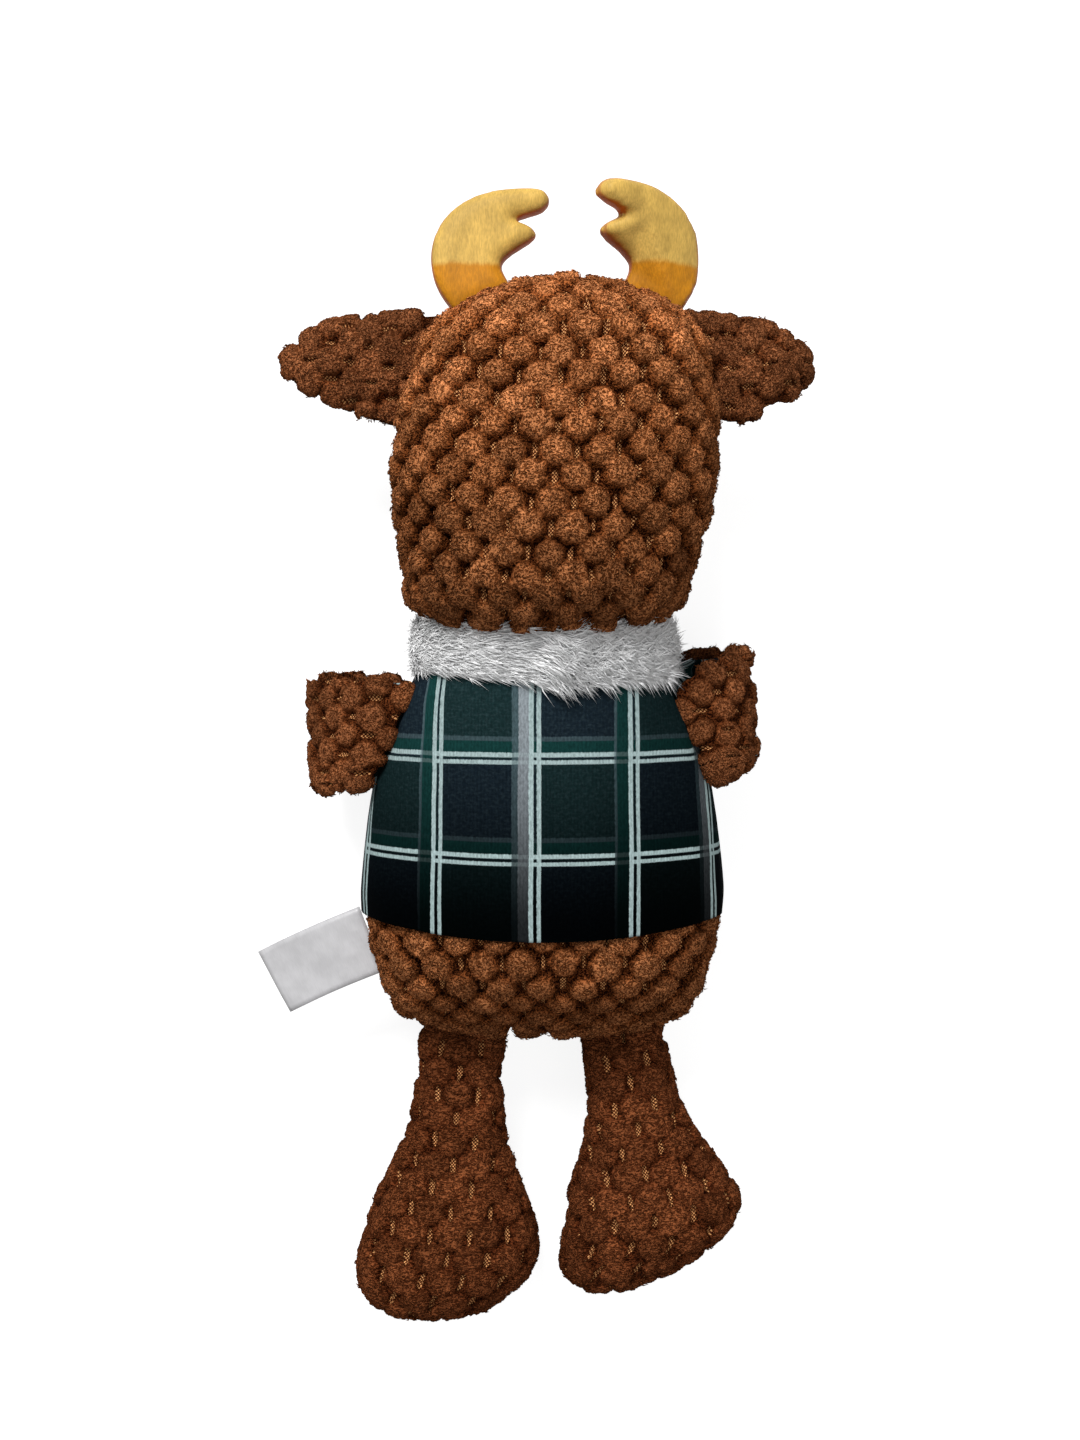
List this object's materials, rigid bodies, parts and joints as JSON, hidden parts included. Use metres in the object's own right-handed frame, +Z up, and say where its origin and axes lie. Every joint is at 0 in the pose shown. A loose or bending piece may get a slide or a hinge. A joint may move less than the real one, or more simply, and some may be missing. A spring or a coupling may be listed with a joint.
{
  "type": "plush deer",
  "caption": "Stuffed plush deer lying on its belly: bobbled brown head, seat and legs, plaid jacket body, fur collar, padded antlers, with limbs hinged on their seams.",
  "frame": {"origin": "on the flat of the belly, on the table that the toy lies on, under the middle of the jacket", "axes": "+Z up through the toy's back, +Y towards the head and antlers, +X towards the toy's right-hand side in the picture"},
  "size_m": [0.2034, 0.4068, 0.0999],
  "materials": {
    "brown_plush": "bobbled short-pile plush, matt",
    "plaid_velour": "printed velour, dark green and navy tartan with pale lines",
    "fibre_filling": "loose white polyester fibre",
    "cream_plush": "short-pile plush, matt",
    "dark_velboa": "short-pile velboa",
    "dark_plastic": "polished",
    "gold_velboa": "short-pile velboa with a sheen",
    "white_fur": "long-pile faux fur",
    "white_satin": "satin ribbon, unprinted"
  },
  "bodies": {
    "trunk": {"torso_cover": "plaid_velour", "seat_cover": "brown_plush", "trunk_filling": "fibre_filling", "collar": "white_fur"},
    "head": {"head_cover": "brown_plush", "head_filling": "fibre_filling", "muzzle": "cream_plush", "nose": "dark_velboa", "eye_left": "dark_plastic", "eye_right": "dark_plastic"},
    "ear_left": {"ear_left": "brown_plush"},
    "ear_right": {"ear_right": "brown_plush"},
    "antler_left": {"antler_left": "gold_velboa"},
    "antler_right": {"antler_right": "gold_velboa"},
    "arm_left": {"arm_left_plush": "brown_plush", "arm_left_lining": "plaid_velour"},
    "arm_right": {"arm_right_plush": "brown_plush", "arm_right_lining": "plaid_velour"},
    "leg_left": {"leg_left_cover": "brown_plush", "leg_left_filling": "fibre_filling"},
    "leg_right": {"leg_right_cover": "brown_plush", "leg_right_filling": "fibre_filling"},
    "label": {"care_label": "white_satin"}
  },
  "joints": [
    {"name": "neck_nod", "type": "hinge", "parent": "trunk", "child": "head", "pos_m": [0, 0.072, 0.043], "axis": [1, 0, 0], "range_deg": [-16, 16], "stiffness_Nm_per_rad": 0.3, "deforming": ["collar"]},
    {"name": "hip_left", "type": "hinge", "parent": "trunk", "child": "leg_left", "pos_m": [-0.03, -0.0694, 0.022], "axis": [-0.9983, 0.0576, 0], "range_deg": [-65, 65]},
    {"name": "hip_right", "type": "hinge", "parent": "trunk", "child": "leg_right", "pos_m": [0.03, -0.0694, 0.022], "axis": [-0.9877, -0.1564, 0], "range_deg": [-65, 65]},
    {"name": "shoulder_left", "type": "hinge", "parent": "trunk", "child": "arm_left", "pos_m": [-0.05395, 0.0455, 0.05], "axis": [0.3651, 0.931, 0], "range_deg": [-5, 60]},
    {"name": "shoulder_right", "type": "hinge", "parent": "trunk", "child": "arm_right", "pos_m": [0.0542, 0.0448, 0.05], "axis": [0.3595, -0.9331, 0], "range_deg": [-5, 60]},
    {"name": "ear_fold_left", "type": "hinge", "parent": "head", "child": "ear_left", "pos_m": [-0.04633, 0.17275, 0.054], "axis": [0.4167, 0.909, 0], "range_deg": [-27, 27], "stiffness_Nm_per_rad": 0.02},
    {"name": "ear_fold_right", "type": "hinge", "parent": "head", "child": "ear_right", "pos_m": [0.05936, 0.17275, 0.054], "axis": [0.4167, -0.909, 0], "range_deg": [-27, 27], "stiffness_Nm_per_rad": 0.02},
    {"name": "antler_bend_left", "type": "hinge", "parent": "head", "child": "antler_left", "pos_m": [-0.02193, 0.19815, 0.052], "axis": [0.9361, 0.3518, 0], "range_deg": [-40, 32], "stiffness_Nm_per_rad": 0.02},
    {"name": "antler_bend_right", "type": "hinge", "parent": "head", "child": "antler_right", "pos_m": [0.03804, 0.19815, 0.052], "axis": [0.9361, -0.3518, 0], "range_deg": [-40, 32], "stiffness_Nm_per_rad": 0.02},
    {"name": "label_flap", "type": "hinge", "parent": "trunk", "child": "label", "pos_m": [-0.06178, -0.029, 0.0375], "axis": [-0.1962, 0.9806, 0], "range_deg": [-45, 45], "stiffness_Nm_per_rad": 0.001}
  ]
}
